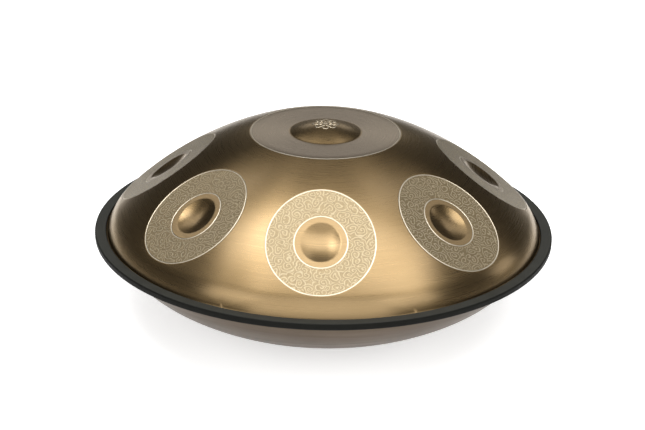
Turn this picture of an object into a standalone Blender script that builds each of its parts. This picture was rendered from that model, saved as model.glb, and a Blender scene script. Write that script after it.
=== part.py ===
"""Handpan: two steel half-shells glued at their flanges, with a rubber edge trim.

Metres, +Z up, origin at the centre of the face the instrument rests on.
The front tone field faces -Y.  Run with: blender --background --python part.py
"""
import math

import bmesh
import bpy
from mathutils import Vector

# ---------------------------------------------------------------- driving sizes
GAP = 0.0003                    # free space between pieces that touch
SHEET = 0.0012                  # steel sheet of both shells

TRIM_RADIUS = 0.280             # outside of the rubber trim: the overall size
TRIM_INNER_RADIUS = 0.266
TRIM_HEIGHT = 0.008
TRIM_CORNER = 0.0022            # rounding of the trim's two outer corners
TRIM_JOINT = 0.0005             # open butt joint of the strip, at the back

FLANGE_RADIUS = 0.274
FOOT_RADIUS = 0.2645            # where each shell meets its flange
ADHESIVE = 0.0006               # thickness of the glue line
ADHESIVE_INNER_RADIUS = 0.2665

DING_FIELD_RADIUS = 0.0916      # flat top disc, to its crease
DING_FIELD_HEIGHT = 0.1259      # above the middle of the glue line
DING_RADIUS = 0.043             # raised dome in the middle of the disc
DING_RISE = 0.0109
DOME_TOP_SLOPE = math.radians(19.25)    # slope of the dome where it leaves the disc
DOME_TURN_SLOPE = math.radians(44.8)    # where the wall runs into the tighter shoulder
DOME_FOOT_SLOPE = math.radians(75.5)    # slope of the shoulder at the flange

FIELD_TILT = math.radians(35.55)        # slope of every flat tone field
FIELD_PLANE = 0.1667                    # distance of a field's plane from the centre
BACK_FIELD_PLANE = 0.1677               # the three back fields are a little smaller
FRONT_AZIMUTHS = (0, 48.9, -48.9, 97.8, -97.8)
BACK_AZIMUTHS = (138.9, -138.9, 180)
FIELD_CUTTER_RADIUS = 0.076
DIMPLE_RADIUS = 0.0233          # across the slope
DIMPLE_STRETCH = 1.11           # dimples are this much longer down the slope
DIMPLE_DEPTH = 0.0045

BOTTOM_DEPTH = 0.100            # underside, below the middle of the glue line
BOTTOM_FOOT_SLOPE = math.radians(63)    # slope of the lower wall at the flange
BOTTOM_TURN_SLOPE = math.radians(35)    # where the wall runs into the flatter floor
LAND_RADIUS = 0.070             # outer edge of the flat ring that it rests on
PORT_RADIUS = 0.050             # clear radius of the sound port
NECK_BEND = 0.009               # radius of the rolled edge of the port
NECK_LENGTH = 0.016             # straight part of the neck, inside the body

SHELL_STEPS = 72                # flats around each turned piece
FIELD_STEPS = 32                # around each cutter that planes off a tone field
DIMPLE_STEPS = 24
DIMPLE_ARC = 7                  # edges along each round stretch of an outline
DING_ARC = 4
DOME_WALL_ARC = 6
SHOULDER_ARC = 5
LOWER_WALL_ARC = 5
LOWER_FLOOR_ARC = 4
NECK_ARC = 4
TRIM_CORNER_ARC = 3
CUTTER_HEIGHT = 0.03
CUT_OVERLAP = 0.001             # how far the hollow reaches below the shell's underside
MERGE = 0.00001
FIELD_CREASE = 7.5              # degrees; the rim of a tone field turns by about 9
EDGE_CREASE = 31.0

# ---------------------------------------------------------------- derived sizes
MID = BOTTOM_DEPTH                                  # height of the glue line
TOP_FLANGE_UNDERSIDE = MID + ADHESIVE / 2 + GAP
TOP_FLANGE_TOP = TOP_FLANGE_UNDERSIDE + SHEET
BOTTOM_FLANGE_TOP = MID - ADHESIVE / 2 - GAP
BOTTOM_FLANGE_UNDERSIDE = BOTTOM_FLANGE_TOP - SHEET
DISC_Z = MID + DING_FIELD_HEIGHT


# ---------------------------------------------------------------- scene helpers
def clear_scene():
    for obj in list(bpy.data.objects):
        bpy.data.objects.remove(obj, do_unlink=True)


def new_collection(name):
    collection = bpy.data.collections.new(name)
    bpy.context.scene.collection.children.link(collection)
    return collection


def material(name, colour, roughness, metallic):
    mat = bpy.data.materials.new(name)
    mat.use_nodes = True
    shader = mat.node_tree.nodes["Principled BSDF"]
    shader.inputs["Base Color"].default_value = (*colour, 1.0)
    shader.inputs["Roughness"].default_value = roughness
    shader.inputs["Metallic"].default_value = metallic
    mat.diffuse_color = (*colour, 1.0)
    return mat


def turned(name, outline, collection, steps, closed=False):
    """A solid or surface of revolution about Z from (radius, height) points."""
    mesh = bpy.data.meshes.new(name)
    edges = [(i, i + 1) for i in range(len(outline) - 1)]
    if closed:
        edges.append((len(outline) - 1, 0))
    mesh.from_pydata([(r, 0.0, z) for r, z in outline], edges, [])
    obj = bpy.data.objects.new(name, mesh)
    collection.objects.link(obj)
    screw = obj.modifiers.new("Turn", "SCREW")
    screw.axis = "Z"
    screw.angle = math.tau
    screw.steps = steps
    screw.render_steps = steps
    screw.use_merge_vertices = True
    screw.merge_threshold = MERGE
    screw.use_smooth_shade = False
    return obj


def hide_cutter(obj):
    obj.hide_render = True
    obj.display_type = "WIRE"
    return obj


def box(name, centre, size, cutters):
    mesh = bpy.data.meshes.new(name)
    shape = bmesh.new()
    bmesh.ops.create_cube(shape, size=1.0)
    bmesh.ops.scale(shape, vec=size, verts=shape.verts)
    shape.to_mesh(mesh)
    shape.free()
    obj = bpy.data.objects.new(name, mesh)
    obj.location = centre
    cutters.objects.link(obj)
    return hide_cutter(obj)


def freeze(obj, crease):
    """Apply the modifiers, shade smooth and keep edges sharper than crease degrees."""
    graph = bpy.context.evaluated_depsgraph_get()
    mesh = bpy.data.meshes.new_from_object(obj.evaluated_get(graph))
    obj.modifiers.clear()
    obj.data = mesh
    mesh.shade_smooth()
    mesh.set_sharp_from_angle(angle=math.radians(crease))


def subtract(target, cutter):
    cut = target.modifiers.new("Cut " + cutter.name, "BOOLEAN")
    cut.operation = "DIFFERENCE"
    cut.solver = "EXACT"
    cut.object = cutter


def arc(centre, radius, start, end, count):
    """Points on a circle in the (radius, height) plane, angles from +Z outwards."""
    points = []
    for i in range(count + 1):
        angle = start + (end - start) * i / count
        points.append((centre[0] + radius * math.sin(angle), centre[1] + radius * math.cos(angle)))
    return points


# ---------------------------------------------------------------- the shells' arcs
def tangent_arcs(run, drop, flat, turn, steep):
    """Radii of a gentle and a tight arc, joined at the turn slope, that cover run and drop."""
    gentle_run = math.sin(turn) - math.sin(flat)
    gentle_drop = math.cos(flat) - math.cos(turn)
    tight_run = math.sin(steep) - math.sin(turn)
    tight_drop = math.cos(turn) - math.cos(steep)
    det = gentle_run * tight_drop - gentle_drop * tight_run
    gentle = (run * tight_drop - drop * tight_run) / det
    tight = (gentle_run * drop - gentle_drop * run) / det
    return gentle, tight


DOME_ARC, SHOULDER = tangent_arcs(FOOT_RADIUS - DING_FIELD_RADIUS, DISC_Z - TOP_FLANGE_TOP,
                                  DOME_TOP_SLOPE, DOME_TURN_SLOPE, DOME_FOOT_SLOPE)
DOME_CENTRE = (DING_FIELD_RADIUS - DOME_ARC * math.sin(DOME_TOP_SLOPE),
               DISC_Z - DOME_ARC * math.cos(DOME_TOP_SLOPE))
SHOULDER_CENTRE = (FOOT_RADIUS - SHOULDER * math.sin(DOME_FOOT_SLOPE),
                   TOP_FLANGE_TOP - SHOULDER * math.cos(DOME_FOOT_SLOPE))
DING_SPHERE = (DING_RADIUS ** 2 + DING_RISE ** 2) / (2 * DING_RISE)
DING_CENTRE_Z = DISC_Z + DING_RISE - DING_SPHERE


def dome_outline(inset):
    """Outer skin of the top shell moved inwards, from the axis down to the foot."""
    ding_radius = DING_SPHERE - inset
    ding_edge = math.acos((DISC_Z - inset - DING_CENTRE_Z) / ding_radius)
    points = arc((0, DING_CENTRE_Z), ding_radius, 0, ding_edge, DING_ARC)
    wall_radius = DOME_ARC - inset
    shoulder_radius = SHOULDER - inset
    foot_z = TOP_FLANGE_UNDERSIDE - CUT_OVERLAP if inset else TOP_FLANGE_TOP
    start = math.acos((DISC_Z - inset - DOME_CENTRE[1]) / wall_radius)
    end = math.acos((foot_z - SHOULDER_CENTRE[1]) / shoulder_radius)
    points += arc(DOME_CENTRE, wall_radius, start, DOME_TURN_SLOPE, DOME_WALL_ARC)
    points += arc(SHOULDER_CENTRE, shoulder_radius, DOME_TURN_SLOPE, end, SHOULDER_ARC)[1:]
    return points


def field_frame(plane, azimuth):
    """Centre, normal and rotation of a tone field; azimuth 0 is the front, -Y."""
    along = (math.sin(FIELD_TILT), math.cos(FIELD_TILT))
    inner_side = DOME_CENTRE[0] * along[0] + (DOME_CENTRE[1] - MID) * along[1]
    reach = plane - inner_side
    radial = DOME_CENTRE[0] + along[0] * reach
    height = DOME_CENTRE[1] + along[1] * reach
    turn = math.radians(azimuth)
    out = Vector((math.sin(turn), -math.cos(turn), 0))
    centre = out * radial + Vector((0, 0, height))
    normal = out * along[0] + Vector((0, 0, along[1]))
    return centre, normal, (FIELD_TILT, 0, turn)


def field_cutters(name, plane, azimuth, inset, cutters):
    """A flat-faced disc that planes the field off, and a lens that presses its dimple."""
    centre, normal, rotation = field_frame(plane, azimuth)
    top, width = CUTTER_HEIGHT, FIELD_CUTTER_RADIUS
    disc = turned(name + "_face", [(0, top), (width, top), (width, 0), (0, 0)], cutters, FIELD_STEPS)
    disc.location = centre - normal * inset
    disc.rotation_euler = rotation
    radius = (DIMPLE_RADIUS ** 2 + DIMPLE_DEPTH ** 2) / (2 * DIMPLE_DEPTH)
    centre_up = radius - DIMPLE_DEPTH
    radius += inset
    rim = math.acos((centre_up - top / 2) / radius)
    bowl = arc((0, centre_up), radius, math.pi - rim, math.pi, DIMPLE_ARC)
    lens = turned(name + "_dimple", [(0, top / 2)] + bowl, cutters, DIMPLE_STEPS)
    lens.location = centre
    lens.rotation_euler = rotation
    lens.scale = (1, DIMPLE_STRETCH, 1)
    return [hide_cutter(disc), hide_cutter(lens)]


def dome_form(name, inset, collection, cutters):
    """A solid dome with its tone fields; the shell is one of these less a smaller one."""
    outline = dome_outline(inset)
    if inset:
        outline.append((0, outline[-1][1]))
    else:
        outline += [(FLANGE_RADIUS, TOP_FLANGE_TOP), (FLANGE_RADIUS, TOP_FLANGE_UNDERSIDE),
                    (0, TOP_FLANGE_UNDERSIDE)]
    form = turned(name, outline, collection, SHELL_STEPS)
    fields = [(FIELD_PLANE, a) for a in FRONT_AZIMUTHS] + [(BACK_FIELD_PLANE, a) for a in BACK_AZIMUTHS]
    for number, (plane, azimuth) in enumerate(fields):
        for cutter in field_cutters(f"{name}_field_{number}", plane, azimuth, inset, cutters):
            subtract(form, cutter)
    return form


# ---------------------------------------------------------------- pieces
def make_top_shell(parts, cutters):
    shell = dome_form("top_shell", 0.0, parts, cutters)
    hollow = hide_cutter(dome_form("top_hollow", SHEET, cutters, cutters))
    subtract(shell, hollow)
    return shell


def bottom_outline():
    """The lower shell's outer skin, from the flange's edge round into the port."""
    floor_radius, wall_radius = tangent_arcs(FOOT_RADIUS - LAND_RADIUS, BOTTOM_FLANGE_UNDERSIDE,
                                             0.0, BOTTOM_TURN_SLOPE, BOTTOM_FOOT_SLOPE)
    foot = (FOOT_RADIUS, BOTTOM_FLANGE_UNDERSIDE)
    wall_centre = (foot[0] - wall_radius * math.sin(BOTTOM_FOOT_SLOPE),
                   foot[1] + wall_radius * math.cos(BOTTOM_FOOT_SLOPE))
    points = [(FLANGE_RADIUS, BOTTOM_FLANGE_UNDERSIDE)]
    points += arc(wall_centre, wall_radius, math.pi - BOTTOM_FOOT_SLOPE, math.pi - BOTTOM_TURN_SLOPE,
                  LOWER_WALL_ARC)
    floor_centre = (LAND_RADIUS, floor_radius)
    points += arc(floor_centre, floor_radius, math.pi - BOTTOM_TURN_SLOPE, math.pi, LOWER_FLOOR_ARC)[1:]
    bend_centre = (PORT_RADIUS + SHEET + NECK_BEND, SHEET + NECK_BEND)
    bend = NECK_BEND + SHEET
    points += arc(bend_centre, bend, math.pi, math.pi * 1.5, NECK_ARC)
    points.append((PORT_RADIUS, SHEET + NECK_BEND + NECK_LENGTH))
    return points


def make_bottom_shell(parts):
    shell = turned("bottom_shell", bottom_outline(), parts, SHELL_STEPS)
    wall = shell.modifiers.new("Sheet", "SOLIDIFY")
    wall.thickness = SHEET
    wall.offset = -1
    wall.use_even_offset = True
    return shell


def make_flange_adhesive(parts):
    low, high = MID - ADHESIVE / 2, MID + ADHESIVE / 2
    outline = [(ADHESIVE_INNER_RADIUS, high), (FLANGE_RADIUS, high), (FLANGE_RADIUS, low),
               (ADHESIVE_INNER_RADIUS, low)]
    return turned("flange_adhesive", outline, parts, SHELL_STEPS, closed=True)


def make_rim_trim(parts, cutters):
    """A U-shaped rubber strip over both flanges, open at its butt joint."""
    half = TRIM_HEIGHT / 2
    slot = TOP_FLANGE_TOP + GAP - MID
    slot_radius = FLANGE_RADIUS + GAP
    corner = TRIM_RADIUS - TRIM_CORNER
    outline = [(TRIM_INNER_RADIUS, MID + half)]
    outline += arc((corner, MID + half - TRIM_CORNER), TRIM_CORNER, 0, math.pi / 2, TRIM_CORNER_ARC)
    outline += arc((corner, MID - half + TRIM_CORNER), TRIM_CORNER, math.pi / 2, math.pi, TRIM_CORNER_ARC)
    outline += [(TRIM_INNER_RADIUS, MID - half), (TRIM_INNER_RADIUS, MID - slot), (slot_radius, MID - slot),
                (slot_radius, MID + slot), (TRIM_INNER_RADIUS, MID + slot)]
    trim = turned("rim_trim", outline, parts, SHELL_STEPS, closed=True)
    reach = 3 * (TRIM_RADIUS - TRIM_INNER_RADIUS)
    subtract(trim, box("trim_joint", (0, TRIM_RADIUS, MID), (TRIM_JOINT, reach, 2 * TRIM_HEIGHT), cutters))
    return trim


def main():
    clear_scene()
    parts = new_collection("handpan")
    cutters = new_collection("cutters")
    steel = material("satin bronze steel", (0.42, 0.31, 0.17), 0.35, 1.0)
    under = material("brown steel", (0.16, 0.12, 0.08), 0.45, 1.0)
    rubber = material("black rubber", (0.03, 0.03, 0.028), 0.75, 0.0)
    glue = material("cured adhesive", (0.25, 0.22, 0.18), 0.5, 0.0)
    pieces = (
        (make_top_shell(parts, cutters), steel, FIELD_CREASE),
        (make_bottom_shell(parts), under, EDGE_CREASE),
        (make_flange_adhesive(parts), glue, EDGE_CREASE),
        (make_rim_trim(parts, cutters), rubber, EDGE_CREASE),
    )
    for piece, finish, crease in pieces:
        freeze(piece, crease)
        piece.data.materials.clear()
        piece.data.materials.append(finish)


main()
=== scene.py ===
"""Looks of the handpan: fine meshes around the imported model, materials, stage, light and camera."""
import math

import bmesh
import bpy
import numpy as np
from mathutils import Matrix, Vector


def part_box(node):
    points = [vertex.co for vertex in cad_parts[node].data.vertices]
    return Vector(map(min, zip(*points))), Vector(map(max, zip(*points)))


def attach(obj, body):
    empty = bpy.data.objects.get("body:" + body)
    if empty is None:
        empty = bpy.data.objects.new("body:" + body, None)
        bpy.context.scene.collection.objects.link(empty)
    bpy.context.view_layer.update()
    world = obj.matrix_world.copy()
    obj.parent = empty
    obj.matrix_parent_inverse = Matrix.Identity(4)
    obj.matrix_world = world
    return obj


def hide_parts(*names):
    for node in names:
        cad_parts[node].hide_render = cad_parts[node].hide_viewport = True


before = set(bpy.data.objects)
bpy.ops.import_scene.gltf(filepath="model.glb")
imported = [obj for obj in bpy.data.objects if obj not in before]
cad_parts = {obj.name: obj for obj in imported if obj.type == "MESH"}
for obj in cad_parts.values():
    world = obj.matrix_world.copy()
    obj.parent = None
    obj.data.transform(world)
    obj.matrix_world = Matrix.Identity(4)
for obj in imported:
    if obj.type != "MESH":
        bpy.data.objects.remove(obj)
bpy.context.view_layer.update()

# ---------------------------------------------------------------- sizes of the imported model
SHEET = 0.0012                  # steel sheet of both shells
GAP = 0.0003                    # free space between pieces that touch
ADHESIVE = 0.0006               # thickness of the glue line
TRIM_LOW, TRIM_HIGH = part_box("rim_trim")
TRIM_RADIUS = TRIM_HIGH.x
MID = (TRIM_LOW.z + TRIM_HIGH.z) / 2        # height of the glue line's middle
TRIM_HALF = (TRIM_HIGH.z - TRIM_LOW.z) / 2
TRIM_INNER_RADIUS = 0.266
TRIM_CORNER = 0.0022            # rounding of the strip's two outer corners
TRIM_JOINT = 0.0005             # between the strip's two cut ends
FLANGE_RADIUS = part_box("flange_adhesive")[1].x
FOOT_RADIUS = 0.2645            # where both shells meet their flanges
TOP_FLANGE_UNDERSIDE = MID + ADHESIVE / 2 + GAP
TOP_FLANGE_TOP = TOP_FLANGE_UNDERSIDE + SHEET
BOTTOM_FLANGE_TOP = MID - ADHESIVE / 2 - GAP
BOTTOM_FLANGE_UNDERSIDE = BOTTOM_FLANGE_TOP - SHEET

DING_FIELD_RADIUS = 0.0916      # flat top disc, to its crease
DING_RADIUS = 0.043             # raised dome in the middle of the disc
DING_RISE = 0.0109
DISC_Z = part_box("top_shell")[1].z - DING_RISE
DOME_TOP_SLOPE = math.radians(19.25)    # slope of the dome where it leaves the disc
DOME_TURN_SLOPE = math.radians(44.8)    # where the wall runs into the tighter shoulder
DOME_FOOT_SLOPE = math.radians(75.5)    # slope of the shoulder at the flange

FIELD_TILT = math.radians(35.55)        # slope of every flat tone field
FIELD_PLANE = 0.1667                    # from the centre of the rim, along a field's normal
BACK_FIELD_PLANE = 0.1677               # the three back fields are a little smaller
FRONT_AZIMUTHS = (0, 48.9, -48.9, 97.8, -97.8)
BACK_AZIMUTHS = (138.9, -138.9, 180)
DIMPLE_SHARE = 0.365            # of the way from a field's centre to its crease
DIMPLE_DEPTH = 0.0045

BOTTOM_FOOT_SLOPE = math.radians(63)    # slope of the lower wall at the flange
BOTTOM_TURN_SLOPE = math.radians(35)    # where the wall runs into the flatter floor
LAND_RADIUS = 0.070             # outer edge of the flat ring that it rests on
PORT_RADIUS = 0.050             # clear radius of the sound port
NECK_BEND = 0.009               # radius of the rolled edge of the port
NECK_LENGTH = 0.016             # straight part of the neck, inside the body

# ---------------------------------------------------------------- fine detail added here
LINE_HALF = 0.0009              # half width of the turned lines around the fields
LINE_DEPTH = 0.00028
LINE_INSET = 0.0013             # from a crease to the middle of its line
INNER_LINE_SHARE = 0.48         # of the way from a field's centre to its crease
DISC_LINE_INSET = 1.4 * LINE_INSET
DISC_MARK = 20.0                # marks the top disc where a tone field has its own small number
EDGE_SOFTNESS = 0.0003          # of the dimples' edges
DING_SOFTNESS = 1.5 * EDGE_SOFTNESS
CREASE_HALF = 0.0005            # half width of the rounded creases
FLANGE_EASE = 0.0003            # bevel on the flange's outer edges
ROSETTE_RADIUS = 0.0155
ROSETTE_PETALS = 8
ROSETTE_RIDGE = 0.00045
RIDGE_HALF = 0.0006

SIDE_STEPS = 40                 # quads down each side of a field's cell
TOP_STEPS = 48                  # quads across a field's cell
WALL_STEPS = 24                 # quads from a field's crease to its cell's edge
COARSE_WALL_STEPS = 3           # the same on the inside
TURN_STEPS = 288                # quads around the turned pieces


# ---------------------------------------------------------------- mesh helpers
def around(radius, azimuth, height):
    """Points about the axis; azimuth 0 faces the front, -Y."""
    x = radius * np.sin(azimuth)
    y = -radius * np.cos(azimuth)
    return np.stack(np.broadcast_arrays(x, y, height), axis=-1)


class Skin:
    """Rings of points, joined by quads, with what the material reads at each point.

    masks holds the shares of engraved band, turned line and flat face. place holds where the
    point is in its own field's plane, and the field's number.
    """

    def __init__(self):
        self.points = []
        self.masks = []
        self.places = []
        self.faces = []
        self.count = 0

    def ring(self, points, band=0.0, line=0.0, face=0.0, place=(0, 0, 0)):
        points = np.atleast_2d(points)
        size = len(points)
        self.points.append(points)
        self.masks.append(np.stack([np.broadcast_to(mask, size) for mask in (band, line, face)], axis=-1))
        self.places.append(np.broadcast_to(np.asarray(place, float), (size, 3)))
        index = np.arange(self.count, self.count + size)
        self.count += size
        return index

    def join(self, first, second):
        """Quads between two closed rings."""
        self.faces.append(np.stack([first, np.roll(first, -1), np.roll(second, -1), second], axis=-1))

    def join_open(self, first, second):
        """Quads between two rows that don't close on themselves."""
        self.faces.append(np.stack([first[:-1], first[1:], second[1:], second[:-1]], axis=-1))

    def cap(self, centre, loop):
        """Triangles from one point to a closed ring."""
        fan = np.stack([np.full(len(loop), centre[0]), loop, np.roll(loop, -1)], axis=-1)
        self.faces.append(fan)

    def mesh(self, name, sharp):
        """The finished mesh, smooth up to the sharp angle in degrees."""
        mesh = bpy.data.meshes.new(name)
        faces = [face for block in self.faces for face in block.tolist()]
        mesh.from_pydata(np.concatenate(self.points), [], faces)
        for label, blocks in (("masks", self.masks), ("place", self.places)):
            data = mesh.attributes.new(label, "FLOAT_VECTOR", "POINT")
            data.data.foreach_set("vector", np.concatenate(blocks).astype(np.float32).ravel())
        shape = bmesh.new()
        shape.from_mesh(mesh)
        bmesh.ops.remove_doubles(shape, verts=shape.verts, dist=0.00002)
        bmesh.ops.recalc_face_normals(shape, faces=shape.faces)
        shape.to_mesh(mesh)
        shape.free()
        mesh.shade_smooth()
        mesh.set_sharp_from_angle(angle=math.radians(sharp))
        return mesh


def piece(name, mesh, material, node):
    """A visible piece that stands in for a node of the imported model."""
    obj = bpy.data.objects.new(name, mesh)
    bpy.context.scene.collection.objects.link(obj)
    mesh.materials.clear()
    mesh.materials.append(material)
    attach(obj, "root")
    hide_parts(node)
    return obj


# ---------------------------------------------------------------- the shells' arcs
def tangent_arcs(run, drop, flat, turn, steep):
    """Radii of a gentle and a tight arc, joined at the turn slope, that cover run and drop."""
    gentle_run = math.sin(turn) - math.sin(flat)
    gentle_drop = math.cos(flat) - math.cos(turn)
    tight_run = math.sin(steep) - math.sin(turn)
    tight_drop = math.cos(turn) - math.cos(steep)
    det = gentle_run * tight_drop - gentle_drop * tight_run
    gentle = (run * tight_drop - drop * tight_run) / det
    tight = (gentle_run * drop - gentle_drop * run) / det
    return gentle, tight


DOME_ARC, SHOULDER_ARC = tangent_arcs(FOOT_RADIUS - DING_FIELD_RADIUS, DISC_Z - TOP_FLANGE_TOP,
                                      DOME_TOP_SLOPE, DOME_TURN_SLOPE, DOME_FOOT_SLOPE)
DOME_CENTRE = (DING_FIELD_RADIUS - DOME_ARC * math.sin(DOME_TOP_SLOPE),
               DISC_Z - DOME_ARC * math.cos(DOME_TOP_SLOPE))
SHOULDER_CENTRE = (FOOT_RADIUS - SHOULDER_ARC * math.sin(DOME_FOOT_SLOPE),
                   TOP_FLANGE_TOP - SHOULDER_ARC * math.cos(DOME_FOOT_SLOPE))
DING_SPHERE = (DING_RADIUS ** 2 + DING_RISE ** 2) / (2 * DING_RISE)


def travel_of(slope):
    """Distance along the dome's skin from its turn slope; negative on the wall above."""
    beyond = slope - DOME_TURN_SLOPE
    return beyond * np.where(beyond > 0, SHOULDER_ARC, DOME_ARC)


def slope_at(travel):
    """The skin's slope at a distance from the turn; the reverse of travel_of."""
    return DOME_TURN_SLOPE + travel / np.where(travel > 0, SHOULDER_ARC, DOME_ARC)


def dome_points(travel, azimuth, inset):
    """Points of the dome's skin, moved inwards by inset."""
    slope = slope_at(travel)
    tight = travel > 0
    arm = np.where(tight, SHOULDER_ARC, DOME_ARC) - inset
    radius = np.where(tight, SHOULDER_CENTRE[0], DOME_CENTRE[0]) + arm * np.sin(slope)
    height = np.where(tight, SHOULDER_CENTRE[1], DOME_CENTRE[1]) + arm * np.cos(slope)
    return around(radius, azimuth, height)


def against_skin(radius, height, inset):
    """Slope of the dome's skin next to a point, and how far outside the skin the point is."""
    tight = np.arctan2(radius - DOME_CENTRE[0], height - DOME_CENTRE[1]) > DOME_TURN_SLOPE
    across = radius - np.where(tight, SHOULDER_CENTRE[0], DOME_CENTRE[0])
    up = height - np.where(tight, SHOULDER_CENTRE[1], DOME_CENTRE[1])
    return np.arctan2(across, up), np.hypot(across, up) - np.where(tight, SHOULDER_ARC, DOME_ARC) + inset


def soft_step(rise, softness):
    """rise where it is positive and nothing where it is negative, with a soft knee."""
    return (rise + np.sqrt(rise * rise + softness * softness)) / 2


def groove(distance):
    """Share of a turned line's depth at a distance from its middle."""
    return np.clip(1 - (distance / LINE_HALF) ** 2, 0, 1) ** 2


# ---------------------------------------------------------------- top shell
def fields():
    """Every tone field in turn: number, azimuth, plane, and the azimuths where its cell ends."""
    flats = [(a, FIELD_PLANE) for a in FRONT_AZIMUTHS] + [(a, BACK_FIELD_PLANE) for a in BACK_AZIMUTHS]
    flats.sort()
    cells = []
    for number, (azimuth, plane) in enumerate(flats):
        before = flats[number - 1][0] - (360 if number == 0 else 0)
        after = flats[(number + 1) % len(flats)][0] + (360 if number == len(flats) - 1 else 0)
        low, high = (azimuth + before) / 2, (azimuth + after) / 2
        cells.append((number, math.radians(azimuth), plane, math.radians(low), math.radians(high)))
    return cells


def crease_reach(radial, height, angle, inset):
    """Distance in the field's plane, at each angle, from its centre to the dome's skin.

    The answer lies between 20 and 120 mm, and each of the halvings keeps the half that has it.
    """
    low = np.full(len(angle), 0.02)
    high = np.full(len(angle), 0.12)
    for _ in range(40):
        reach = (low + high) / 2
        across = reach * np.cos(angle)
        out = radial + reach * np.sin(angle) * math.cos(FIELD_TILT)
        up = height - reach * np.sin(angle) * math.sin(FIELD_TILT)
        beyond = against_skin(np.hypot(across, out), up, inset)[1] > 0
        high = np.where(beyond, reach, high)
        low = np.where(beyond, low, reach)
    return low


def face_rings(fine):
    """Rings across a tone field, each a share of the way to its crease plus a distance."""
    line = np.linspace(-1.25, 1.25, 11)
    if not fine:
        return [(DIMPLE_SHARE * x, 0.0) for x in (0.35, 0.7, 0.9, 1.0, 1.1)] + [(1.0, 0.0)]
    rings = [(DIMPLE_SHARE * x / 16, 0.0) for x in range(1, 16)]
    rings += [(DIMPLE_SHARE * x, 0.0) for x in (0.97, 1.0, 1.03, 1.07, 1.12)]
    inner = INNER_LINE_SHARE
    rings += [(inner, x * LINE_HALF) for x in line]
    rings += [(inner + (1 - inner) * x, 0.0) for x in (0.15, 0.3, 0.45, 0.6, 0.75, 0.88)]
    rings += [(1.0, x * LINE_HALF - LINE_INSET) for x in line if x <= 1.0]
    rings += [(1.0, 0.0)]
    return rings


def cell_edge(low, high, start, end):
    """Azimuth and travel of the points around a cell: along its top, down, back and up."""
    along = np.linspace(low, high, TOP_STEPS, endpoint=False)
    down = np.linspace(start, end, SIDE_STEPS, endpoint=False)
    back = np.linspace(high, low, TOP_STEPS, endpoint=False)
    up = np.linspace(end, start, SIDE_STEPS, endpoint=False)
    azimuth = np.concatenate([along, np.full(SIDE_STEPS, high), back, np.full(SIDE_STEPS, low)])
    travel = np.concatenate([np.full(TOP_STEPS, start), down, np.full(TOP_STEPS, end), up])
    return azimuth, travel


def add_field(skin, cell, travels, inset, fine):
    """One tone field and the piece of dome around it, out to its neighbours."""
    number, azimuth, plane, low, high = cell
    edge_azimuth, edge_travel = cell_edge(low, high, *travels)

    # the field's centre: from the upper arc's centre along the field's normal, out to its plane
    along = np.array([math.sin(FIELD_TILT), math.cos(FIELD_TILT)])
    inner_side = DOME_CENTRE[0] * along[0] + (DOME_CENTRE[1] - MID) * along[1]
    lift = plane - inset - inner_side
    radial, height = DOME_CENTRE[0] + along[0] * lift, DOME_CENTRE[1] + along[1] * lift
    angle = np.arctan2(edge_travel - travel_of(FIELD_TILT), (edge_azimuth - azimuth) * radial)
    reach = crease_reach(radial, height, angle, inset)

    # directions: outwards, along the rim, out of the plane, and down the plane
    out = np.array([math.sin(azimuth), -math.cos(azimuth), 0.0])
    side = np.array([math.cos(azimuth), math.sin(azimuth), 0.0])
    normal = out * along[0] + np.array([0, 0, along[1]])
    fall = out * along[1] - np.array([0, 0, along[0]])
    centre = out * radial + np.array([0, 0, height])
    spoke = np.outer(np.cos(angle), side) + np.outer(np.sin(angle), fall)

    # the flat face with its dimple and lines, from the middle out to the crease
    middle = skin.ring(centre - normal * DIMPLE_DEPTH, face=1.0, place=(0, 0, number))
    last = None
    for share, extra in face_rings(fine):
        distance = reach * share + extra
        dish = soft_step(DIMPLE_DEPTH * (1 - (distance / (reach * DIMPLE_SHARE)) ** 2), EDGE_SOFTNESS)
        inner, outer = distance - reach * INNER_LINE_SHARE, distance - reach + LINE_INSET
        line = np.maximum(groove(inner), groove(outer)) if fine else np.zeros(len(reach))
        band = np.clip(inner / LINE_HALF - 0.6, 0, 1) * np.clip(-outer / LINE_HALF - 0.6, 0, 1)
        points = centre + spoke * distance[:, None] - np.outer(dish + LINE_DEPTH * line, normal)
        plane_x, plane_y = distance * np.cos(angle), distance * np.sin(angle)
        place = np.stack([plane_x, plane_y, np.full(len(angle), number)], axis=-1)
        loop = skin.ring(points, band=band, line=np.sqrt(line), face=1.0, place=place)
        if last is None:
            skin.cap(middle, loop)
        else:
            skin.join(last, loop)
        last = loop

    # the dome's skin, from the crease out to the cell's edge
    flat = np.hypot(points[:, 0], points[:, 1])
    crease_azimuth = azimuth + np.arctan2(reach * np.cos(angle), radial + reach * np.sin(angle) * along[1])
    crease_travel = travel_of(against_skin(flat, points[:, 2], inset)[0])
    width = np.hypot((edge_azimuth - crease_azimuth) * flat, edge_travel - crease_travel)
    steps = WALL_STEPS if fine else COARSE_WALL_STEPS
    shares = [CREASE_HALF / width] if fine else []
    shares += [np.full(len(width), (i / steps) ** 1.2) for i in range(1, steps + 1)]
    for share in shares:
        ring_azimuth = crease_azimuth + (edge_azimuth - crease_azimuth) * share
        ring_travel = crease_travel + (edge_travel - crease_travel) * share
        loop = skin.ring(dome_points(ring_travel, ring_azimuth, inset))
        skin.join(last, loop)
        last = loop


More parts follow.
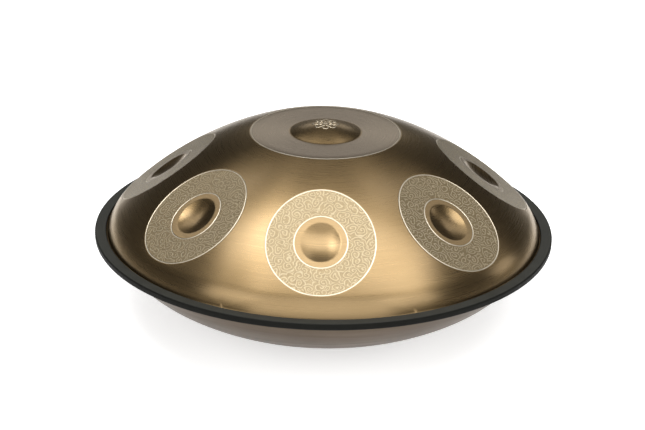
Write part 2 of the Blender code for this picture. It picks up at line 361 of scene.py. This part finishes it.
def rosette(radius, azimuth):
    """Share of the ridge's height: petal outlines in two tiers around a small ring."""
    turn = azimuth * ROSETTE_PETALS / 2
    outer = ROSETTE_RADIUS * (0.60 + 0.40 * np.abs(np.cos(turn)) ** 0.8)
    inner = ROSETTE_RADIUS * (0.34 + 0.24 * np.abs(np.sin(turn)) ** 0.8)
    ridge = np.zeros(len(azimuth))
    for outline, slant in ((outer, 0.75), (inner, 0.8), (ROSETTE_RADIUS * 0.2, 1.0)):
        ridge = np.maximum(ridge, np.exp(-((radius - outline) * slant / RIDGE_HALF) ** 2))
    return ridge


def add_ding(skin, azimuth, inset, fine):
    """The flat top disc with the raised ding, its line and its rosette, from the crease in."""
    line_radius = DING_FIELD_RADIUS - DISC_LINE_INSET
    if fine:
        radii = [DING_FIELD_RADIUS, DING_FIELD_RADIUS - CREASE_HALF]
        radii += list(line_radius + np.linspace(1, -1, 9) * LINE_HALF)
        radii += [0.078, 0.070, 0.062, 0.055, 0.050]
        radii += [DING_RADIUS + x for x in (0.0045, 0.003, 0.002, 0.001, 0.0004, 0, -0.0004, -0.001)]
        radii += list(np.linspace(DING_RADIUS - 0.002, ROSETTE_RADIUS * 1.12, 12))
        radii += list(np.linspace(ROSETTE_RADIUS * 1.08, ROSETTE_RADIUS * 0.06, 44))
    else:
        radii = [DING_FIELD_RADIUS, 0.065, DING_RADIUS + 0.001, DING_RADIUS - 0.002, 0.028, 0.012]
    last = None
    for radius in radii:
        cap = -1.0
        if radius < DING_SPHERE:
            cap = math.sqrt(DING_SPHERE ** 2 - radius ** 2) - (DING_SPHERE - DING_RISE)
        height = DISC_Z - inset + soft_step(cap, DING_SOFTNESS)
        turned_line = groove(radius - line_radius) if fine else 0.0
        ridge = np.zeros(len(azimuth))
        if fine and radius < ROSETTE_RADIUS * 1.1:
            ridge = rosette(radius, azimuth)
        height = height - LINE_DEPTH * turned_line + ROSETTE_RIDGE * ridge
        marks = np.maximum(math.sqrt(turned_line), ridge * 0.8)
        level = min(1.0, max(0.0, (radius - DING_RADIUS) / 0.002))
        place = around(radius, azimuth, np.full(len(azimuth), DISC_MARK))
        loop = skin.ring(around(radius, azimuth, height), line=marks, face=level, place=place)
        if last is not None:
            skin.join(last, loop)
        last = loop
    top = DISC_Z - inset + DING_RISE
    skin.cap(skin.ring(np.array([0, 0, top])), last)


def top_shell_mesh():
    """The dome's outer and inner skins, closed around the flange between them."""
    skin = Skin()
    cells = fields()
    azimuth = np.concatenate([np.linspace(c[3], c[4], TOP_STEPS, endpoint=False) for c in cells])
    feet = []
    for inset, fine in ((0.0, True), (SHEET, False)):
        foot_height = TOP_FLANGE_UNDERSIDE if inset else TOP_FLANGE_TOP
        disc_slope = math.acos((DISC_Z - inset - DOME_CENTRE[1]) / (DOME_ARC - inset))
        foot_slope = math.acos((foot_height - SHOULDER_CENTRE[1]) / (SHOULDER_ARC - inset))
        travels = (travel_of(disc_slope) + CREASE_HALF, travel_of(foot_slope) - CREASE_HALF)
        for cell in cells:
            add_field(skin, cell, travels, inset, fine)
        disc_edge = DOME_CENTRE[0] + (DOME_ARC - inset) * math.sin(disc_slope)
        skin.join(skin.ring(dome_points(np.full(len(azimuth), travels[0]), azimuth, inset)),
                  skin.ring(around(disc_edge, azimuth, DISC_Z - inset)))
        add_ding(skin, azimuth, inset, fine)
        foot_ring = dome_points(np.full(len(azimuth), travels[1]), azimuth, inset)
        feet.append(skin.ring(foot_ring))
        inner_radius = np.hypot(foot_ring[0, 0], foot_ring[0, 1])
    outline = [(FOOT_RADIUS + 0.0001, TOP_FLANGE_TOP + 0.0002),
               (FOOT_RADIUS + 0.0005, TOP_FLANGE_TOP),
               (FLANGE_RADIUS - FLANGE_EASE, TOP_FLANGE_TOP),
               (FLANGE_RADIUS, TOP_FLANGE_TOP - FLANGE_EASE),
               (FLANGE_RADIUS, TOP_FLANGE_UNDERSIDE + FLANGE_EASE),
               (FLANGE_RADIUS - FLANGE_EASE, TOP_FLANGE_UNDERSIDE),
               (inner_radius + 0.0008, TOP_FLANGE_UNDERSIDE)]
    last = feet[0]
    for radius, height in outline:
        loop = skin.ring(around(radius, azimuth, height))
        skin.join(last, loop)
        last = loop
    skin.join(last, feet[1])
    return skin.mesh("top_shell_skin", 30)


# ---------------------------------------------------------------- turned pieces
def arc(centre, radius, start, end, count):
    """Points on a circle in the (radius, height) plane, angles from +Z outwards."""
    angles = np.linspace(start, end, count + 1)
    return [(centre[0] + radius * math.sin(a), centre[1] + radius * math.cos(a)) for a in angles]


def bottom_skin(inset):
    """The lower shell's skin moved inwards, from its flange round into the port."""
    floor_radius, wall_radius = tangent_arcs(FOOT_RADIUS - LAND_RADIUS, BOTTOM_FLANGE_UNDERSIDE,
                                             0.0, BOTTOM_TURN_SLOPE, BOTTOM_FOOT_SLOPE)
    wall_centre = (FOOT_RADIUS - wall_radius * math.sin(BOTTOM_FOOT_SLOPE),
                   BOTTOM_FLANGE_UNDERSIDE + wall_radius * math.cos(BOTTOM_FOOT_SLOPE))
    level = BOTTOM_FLANGE_UNDERSIDE + inset
    shift = inset / math.tan(BOTTOM_FOOT_SLOPE / 2 + math.pi / 4)
    points = [(FLANGE_RADIUS, level), (FOOT_RADIUS + 0.001 - shift, level)]
    wall = arc(wall_centre, wall_radius - inset,
               math.pi - BOTTOM_FOOT_SLOPE, math.pi - BOTTOM_TURN_SLOPE, 36)
    points += [p for p in wall if p[1] < level - 0.0002]
    points += arc((LAND_RADIUS, floor_radius), floor_radius - inset,
                  math.pi - BOTTOM_TURN_SLOPE, math.pi, 24)[1:]
    bend_centre = (PORT_RADIUS + SHEET + NECK_BEND, SHEET + NECK_BEND)
    points += arc(bend_centre, NECK_BEND + SHEET - inset, math.pi, math.pi * 1.5, 14)
    points.append((PORT_RADIUS + inset, SHEET + NECK_BEND + NECK_LENGTH))
    return points


def turned_mesh(name, outline, sharp):
    """A closed ring-shaped body turned from its (radius, height) outline."""
    skin = Skin()
    azimuth = np.linspace(0, math.tau, TURN_STEPS, endpoint=False)
    loops = [skin.ring(around(r, azimuth, z)) for r, z in outline]
    for number, loop in enumerate(loops):
        skin.join(loop, loops[(number + 1) % len(loops)])
    return skin.mesh(name, sharp)


def bottom_shell_mesh():
    outline = bottom_skin(0.0) + bottom_skin(SHEET)[::-1]
    return turned_mesh("bottom_shell_skin", outline, 40)


def trim_outline():
    """Section of the rubber strip: a U with rounded corners and soft lips."""
    slot = TOP_FLANGE_TOP + GAP - MID
    slot_radius = FLANGE_RADIUS + GAP
    lip = 0.0015
    corner = TRIM_RADIUS - TRIM_CORNER
    flat = (0.269, 0.271, 0.2735)
    high, low = MID + TRIM_HALF, MID - TRIM_HALF
    points = arc((TRIM_INNER_RADIUS + lip, high - lip), lip, -math.pi / 2, 0, 4)
    points += [(r, high) for r in flat]
    points += arc((corner, high - TRIM_CORNER), TRIM_CORNER, 0, math.pi / 2, 8)
    points += arc((corner, low + TRIM_CORNER), TRIM_CORNER, math.pi / 2, math.pi, 8)
    points += [(r, low) for r in reversed(flat)]
    points += arc((TRIM_INNER_RADIUS + lip, low + lip), lip, math.pi, math.pi * 1.5, 4)
    points += [(TRIM_INNER_RADIUS, MID - slot), (slot_radius, MID - slot),
               (slot_radius, MID + slot), (TRIM_INNER_RADIUS, MID + slot)]
    return points


def rim_trim_mesh():
    """The strip runs once around and its two cut ends face each other at the back."""
    skin = Skin()
    half_joint = TRIM_JOINT / 2 / TRIM_RADIUS
    azimuth = np.linspace(half_joint - math.pi, math.pi - half_joint, TURN_STEPS + 1)
    outline = trim_outline()
    loops = [skin.ring(around(r, azimuth, z)) for r, z in outline]
    for number, loop in enumerate(loops):
        skin.join_open(loop, loops[(number + 1) % len(loops)])
    for end in (0, -1):
        ring = np.array([loop[end] for loop in loops])
        skin.faces.append(ring[None, :])
    return skin.mesh("rim_trim_skin", 40)


# ---------------------------------------------------------------- materials
class Shading:
    """A material's node tree, built one node at a time."""

    def __init__(self, name):
        self.material = bpy.data.materials.new(name)
        self.material.use_nodes = True
        self.nodes = self.material.node_tree.nodes
        self.links = self.material.node_tree.links
        self.shader = self.nodes["Principled BSDF"]

    def add(self, kind, inputs=None, **settings):
        node = self.nodes.new(kind)
        for key, value in settings.items():
            setattr(node, key, value)
        for key, value in (inputs or {}).items():
            self.feed(node.inputs[key], value)
        return node

    def feed(self, socket, value):
        if isinstance(value, bpy.types.NodeSocket):
            self.links.new(value, socket)
        else:
            socket.default_value = value

    def math(self, operation, first, second=0.0, third=0.0):
        values = {0: first, 1: second, 2: third}
        return self.add("ShaderNodeMath", values, operation=operation).outputs[0]

    def vector(self, operation, first, second):
        return self.add("ShaderNodeVectorMath", {0: first, 1: second}, operation=operation).outputs[0]

    def scaled(self, vector, factor):
        node = self.add("ShaderNodeVectorMath", {0: vector, "Scale": factor}, operation="SCALE")
        return node.outputs[0]

    def length(self, vector):
        return self.add("ShaderNodeVectorMath", {0: vector}, operation="LENGTH").outputs["Value"]

    def combine(self, x, y, z):
        return self.add("ShaderNodeCombineXYZ", {0: x, 1: y, 2: z}).outputs[0]

    def split(self, vector):
        return self.add("ShaderNodeSeparateXYZ", {0: vector}).outputs

    def noise(self, vector, scale, detail=3.0, roughness=0.5):
        inputs = {"Vector": vector, "Scale": scale, "Detail": detail, "Roughness": roughness}
        return self.add("ShaderNodeTexNoise", inputs).outputs["Fac"]

    def fit(self, value, low, high, new_low=0.0, new_high=1.0, smooth=False):
        """A value between low and high, moved into the new range and held there."""
        inputs = {"Value": value, "From Min": low, "From Max": high, "To Min": new_low, "To Max": new_high}
        kind = "SMOOTHSTEP" if smooth else "LINEAR"
        return self.add("ShaderNodeMapRange", inputs, interpolation_type=kind).outputs["Result"]

    def mix(self, factor, first, second):
        """Blend two colours."""
        node = self.add("ShaderNodeMix", data_type="RGBA")
        self.feed(node.inputs["Factor"], factor)
        for socket, value in ((node.inputs[6], first), (node.inputs[7], second)):
            self.feed(socket, value if isinstance(value, bpy.types.NodeSocket) else (*value, 1.0))
        return node.outputs[2]

    def blend(self, factor, first, second):
        """Blend two numbers."""
        node = self.add("ShaderNodeMix", data_type="FLOAT")
        for socket, value in zip(node.inputs[:1] + node.inputs[2:4], (factor, first, second)):
            self.feed(socket, value)
        return node.outputs[0]

    def bump(self, height, distance, strength=1.0, normal=None):
        inputs = {"Height": height, "Distance": distance, "Strength": strength}
        if normal is not None:
            inputs["Normal"] = normal
        return self.add("ShaderNodeBump", inputs).outputs["Normal"]

    def finish(self, **sockets):
        """Feed the shader's own sockets and hand over the material."""
        for name, value in sockets.items():
            self.feed(self.shader.inputs[name.replace("_", " ")], value)
        return self.material


def turned_streaks(shade, place, fineness):
    """Hair-thin circular polishing marks about the axis, fineness of them to the metre."""
    x, y, z = shade.split(place)
    flat = shade.combine(x, y, 0.0)
    radius = shade.length(flat)
    turn = shade.add("ShaderNodeVectorMath", {0: flat}, operation="NORMALIZE").outputs[0]
    turn_x, turn_y, _ = shade.split(turn)
    across = shade.math("MULTIPLY", shade.math("SUBTRACT", radius, z), fineness)
    vector = shade.combine(shade.math("MULTIPLY", turn_x, 2.2), shade.math("MULTIPLY", turn_y, 2.2), across)
    return shade.noise(vector, 1.0, 4.0, 0.65)


def scrolls(shade, place):
    """Curling hand-cut strokes: a small spiral about each cell's own point."""
    spacing = 0.0034
    u, v, number = shade.split(place)
    u = shade.math("MULTIPLY_ADD", number, 0.4, u)      # moves each field to its own strokes
    plane = shade.combine(u, v, 0.0)
    waves = shade.add("ShaderNodeTexNoise", {"Vector": plane, "Scale": 90.0, "Detail": 1.0})
    wander = shade.vector("SUBTRACT", waves.outputs["Color"], (0.5, 0.5, 0.5))
    wander = shade.scaled(wander, 0.009)
    plane = shade.vector("ADD", plane, wander)
    cells = shade.add("ShaderNodeTexVoronoi", {"Vector": plane, "Scale": 94.0, "Randomness": 1.0},
                      voronoi_dimensions="2D")
    local = shade.vector("SUBTRACT", plane, cells.outputs["Position"])
    local_x, local_y, _ = shade.split(local)
    angle = shade.math("ARCTAN2", local_y, local_x)
    handed = shade.math("SIGN", shade.math("SUBTRACT", shade.split(cells.outputs["Color"])[0], 0.5))
    turns = shade.math("MULTIPLY", angle, handed)
    phase = shade.math("MULTIPLY_ADD", shade.length(local), math.tau / spacing, turns)
    return shade.math("COSINE", phase)


def steel_top():
    """Bronze-toned brushed steel with engraved fields and pale turned lines."""
    shade = Shading("bronze_toned_steel")
    place = shade.add("ShaderNodeTexCoord").outputs["Object"]
    masks = shade.add("ShaderNodeAttribute", attribute_name="masks").outputs["Vector"]
    band, line, face = shade.split(masks)
    local = shade.add("ShaderNodeAttribute", attribute_name="place").outputs["Vector"]
    streaks = turned_streaks(shade, place, 1500.0)
    clouds = shade.noise(place, 9.0, 4.0, 0.55)
    stroke = scrolls(shade, local)
    stroke_mask = shade.math("MULTIPLY", shade.fit(stroke, 0.30, 0.90, smooth=True), band)

    dome = shade.mix(shade.fit(clouds, 0.35, 0.65), (0.205, 0.138, 0.062), (0.225, 0.155, 0.074))
    dome = shade.mix(shade.fit(streaks, 0.35, 0.65, 0.0, 0.6), dome, (0.178, 0.119, 0.055))
    grit = shade.fit(shade.noise(local, 240.0, 3.0), 0.35, 0.65)
    ground = shade.mix(grit, (0.170, 0.126, 0.066), (0.225, 0.172, 0.094))
    colour = shade.mix(band, dome, ground)
    colour = shade.mix(stroke_mask, colour, (0.44, 0.37, 0.245))
    marked = shade.math("GREATER_THAN", shade.split(local)[2], 0.75 * DISC_MARK)
    disc = shade.math("MULTIPLY", marked, face)
    colour = shade.mix(disc, colour, (0.235, 0.190, 0.145))
    colour = shade.mix(line, colour, (0.70, 0.64, 0.52))

    rough = shade.fit(streaks, 0.35, 0.65, 0.26, 0.33)
    rough = shade.blend(band, rough, 0.36)
    rough = shade.blend(stroke_mask, rough, 0.60)
    rough = shade.blend(line, rough, 0.45)
    hairs = shade.bump(streaks, 0.00002, 0.4)
    cuts = shade.bump(shade.math("MULTIPLY", stroke_mask, -1.0), 0.00010, 0.7, hairs)
    tangent = shade.add("ShaderNodeTangent", direction_type="RADIAL", axis="Z").outputs[0]
    return shade.finish(Base_Color=colour, Roughness=rough, Normal=cuts, Tangent=tangent, Metallic=1.0,
                        Anisotropic=0.6, Anisotropic_Rotation=0.25, Coat_Weight=0.24, Coat_Roughness=0.22,
                        Specular_Tint=(0.92, 0.86, 0.76, 1))


def steel_bottom():
    """The same steel, darker and browner, without engraving."""
    shade = Shading("brown_steel")
    place = shade.add("ShaderNodeTexCoord").outputs["Object"]
    streaks = turned_streaks(shade, place, 1100.0)
    clouds = shade.noise(place, 12.0, 4.0, 0.6)
    colour = shade.mix(shade.fit(clouds, 0.35, 0.65), (0.090, 0.066, 0.043), (0.120, 0.088, 0.060))
    colour = shade.mix(shade.fit(streaks, 0.3, 0.7, 0.0, 0.6), colour, (0.082, 0.060, 0.041))
    rough = shade.fit(streaks, 0.3, 0.7, 0.36, 0.46)
    tangent = shade.add("ShaderNodeTangent", direction_type="RADIAL", axis="Z").outputs[0]
    return shade.finish(Base_Color=colour, Roughness=rough, Normal=shade.bump(streaks, 0.00003, 0.4),
                        Tangent=tangent, Metallic=1.0, Anisotropic=0.5, Anisotropic_Rotation=0.25,
                        Coat_Weight=0.08, Coat_Roughness=0.35)


def rubber():
    """Black rubber, lighter where it faces upwards: partly dust, partly painted light on the top face."""
    shade = Shading("black_rubber")
    place = shade.add("ShaderNodeTexCoord").outputs["Object"]
    grain = shade.noise(place, 2600.0, 3.0, 0.6)
    dust = shade.noise(place, 60.0, 5.0, 0.7)
    upward = shade.split(shade.add("ShaderNodeNewGeometry").outputs["True Normal"])[2]
    # painted light: what faces upwards is drawn lighter, as if lit from above, mottled by the dust noise
    level = shade.fit(upward, 0.8, 1.0, smooth=True)
    dust_and_painted_top_light = shade.math("MULTIPLY", level, shade.fit(dust, 0.2, 0.8, 0.6, 1.0))
    colour = shade.mix(dust_and_painted_top_light, (0.004, 0.004, 0.003), (0.031, 0.031, 0.027))
    rough = shade.fit(dust, 0.3, 0.7, 0.50, 0.66)
    return shade.finish(Base_Color=colour, Roughness=rough, Specular_IOR_Level=0.08,
                        Normal=shade.bump(grain, 0.00006, 0.5))


def adhesive():
    shade = Shading("cured_adhesive")
    place = shade.add("ShaderNodeTexCoord").outputs["Object"]
    lumps = shade.noise(place, 700.0, 4.0, 0.6)
    colour = shade.mix(lumps, (0.16, 0.14, 0.11), (0.26, 0.23, 0.18))
    return shade.finish(Base_Color=colour, Roughness=0.45, Normal=shade.bump(lumps, 0.0001, 0.5))


# ---------------------------------------------------------------- stage, light and camera
def use_plain_colours():
    """Show the colours as they come from the light, without a film look."""
    view = bpy.context.scene.view_settings
    view.view_transform = "Standard"
    view.look = "None"


def floor_material():
    """White around the object, with a glow of its own, and dim further out, where metal mirrors it."""
    shade = Shading("pale_backdrop")
    place = shade.add("ShaderNodeTexCoord").outputs["Object"]
    tone = shade.noise(place, 3.0, 3.0, 0.5)
    near = shade.fit(shade.length(place), 1.4, 2.8, 1.0, 0.0, smooth=True)
    colour = shade.mix(tone, (0.78, 0.78, 0.78), (0.82, 0.82, 0.82))
    colour = shade.mix(near, (0.24, 0.24, 0.24), colour)
    glow = shade.fit(near, 0.0, 1.0, 0.02, 0.60)
    return shade.finish(Base_Color=colour, Roughness=0.9, Specular_IOR_Level=0.1,
                        Emission_Color=(1, 1, 1, 1), Emission_Strength=glow)


def add_stage():
    """A pale round floor that sweeps up to a low wall, far from the object."""
    skin = Skin()
    azimuth = np.linspace(0, math.tau, 96, endpoint=False)
    floor_radius, sweep = 6.0, 1.5
    outline = [(r, 0.0) for r in (0.3, 0.8, 2.0, 4.0, floor_radius)]
    outline += arc((floor_radius, sweep), sweep, math.pi, math.pi / 2, 10)[1:]
    loops = [skin.ring(around(r, azimuth, z)) for r, z in outline]
    for first, second in zip(loops, loops[1:]):
        skin.join(first, second)
    skin.cap(skin.ring(np.zeros(3)), loops[0])
    mesh = skin.mesh("floor", 40)
    if mesh.polygons[0].normal.z < 0:
        mesh.flip_normals()
    mesh.materials.append(floor_material())
    floor = bpy.data.objects.new("floor", mesh)
    bpy.context.scene.collection.objects.link(floor)


def softbox(name, centre, target, size, radiance):
    """A rectangular lamp with an even glow, which the camera itself doesn't show."""
    light = bpy.data.lights.new(name, "AREA")
    light.shape = "RECTANGLE"
    light.size, light.size_y = size
    light.energy = radiance * math.pi * size[0] * size[1]
    lamp = bpy.data.objects.new(name, light)
    lamp.location = centre
    lamp.rotation_euler = (Vector(target) - Vector(centre)).to_track_quat("-Z", "Y").to_euler()
    lamp.visible_camera = False
    bpy.context.scene.collection.objects.link(lamp)


def add_light():
    """A dim studio with soft boxes above, in front, at the sides and behind."""
    middle = (0, 0, 0.1)
    world = bpy.data.worlds.new("studio")
    world.use_nodes = True
    world.node_tree.nodes["Background"].inputs["Color"].default_value = (0.070, 0.069, 0.067, 1)
    bpy.context.scene.world = world
    softbox("overhead", (0.65, -0.8, 4.3), (0.65, -0.8, 0), (5.6, 2.2), 5.3)
    softbox("overhead_left", (-1.9, 0.0, 4.2), middle, (1.4, 1.6), 5.6)
    softbox("back_left_high", (-3.3, 2.2, 4.3), (-0.3, 0, 0.1), (2.2, 2.4), 2.1)
    softbox("back_right_high", (3.3, 2.2, 4.3), (0.3, 0, 0.1), (2.2, 2.4), 1.5)
    softbox("overhead_back", (0, 2.1, 4.3), (0, 2.1, 0), (3.6, 1.2), 0.4)
    softbox("front_high", (0.0, -3.9, 3.0), middle, (6.4, 2.8), 2.3)
    softbox("front_low", (0, -4.4, 1.05), middle, (6.4, 1.6), 1.7)
    softbox("overhead_right", (1.5, 1.2, 4.2), middle, (1.2, 1.0), 1.8)
    softbox("front_left", (-3.6, -2.9, 3.0), middle, (2.0, 2.4), 3.0)
    softbox("front_right", (3.6, -2.9, 3.0), middle, (2.0, 2.4), 3.0)
    softbox("right_low", (3.0, 1.0, 1.05), middle, (0.9, 0.8), 2.2)
    softbox("behind", (0, 4.2, 1.9), middle, (2.4, 1.2), 1.0)


def add_camera():
    """In front of the instrument, a little above it, with a long lens."""
    distance = 9 * TRIM_RADIUS
    elevation, azimuth = math.radians(23.41), math.radians(0.80)
    roll = 0.0202
    pivot = Vector((0, 0, MID))
    out = Vector((math.sin(azimuth), -math.cos(azimuth), 0)) * math.cos(elevation)
    position = pivot + (out + Vector((0, 0, math.sin(elevation)))) * distance
    above_rim = Vector((-0.0016, 0, 0.0164))    # what brings the whole instrument to the middle
    aim = pivot + above_rim
    look = (aim - position).normalized()
    right = look.cross(Vector((0, 0, 1))).normalized()
    up = right.cross(look)
    turned_right = right * math.cos(roll) + up * math.sin(roll)
    turned_up = up * math.cos(roll) - right * math.sin(roll)
    camera = bpy.data.cameras.new("camera")
    camera.sensor_width = 36.0
    camera.lens = 114.2
    holder = bpy.data.objects.new("camera", camera)
    turned = Matrix((turned_right, turned_up, -look)).transposed().to_4x4()
    holder.matrix_world = Matrix.Translation(position) @ turned
    bpy.context.scene.collection.objects.link(holder)
    bpy.context.scene.camera = holder


def main():
    use_plain_colours()
    piece("top_shell_finish", top_shell_mesh(), steel_top(), "top_shell")
    piece("bottom_shell_finish", bottom_shell_mesh(), steel_bottom(), "bottom_shell")
    piece("rim_trim_finish", rim_trim_mesh(), rubber(), "rim_trim")
    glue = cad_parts["flange_adhesive"]
    glue.data.materials.clear()
    glue.data.materials.append(adhesive())
    add_stage()
    add_light()
    add_camera()


main()
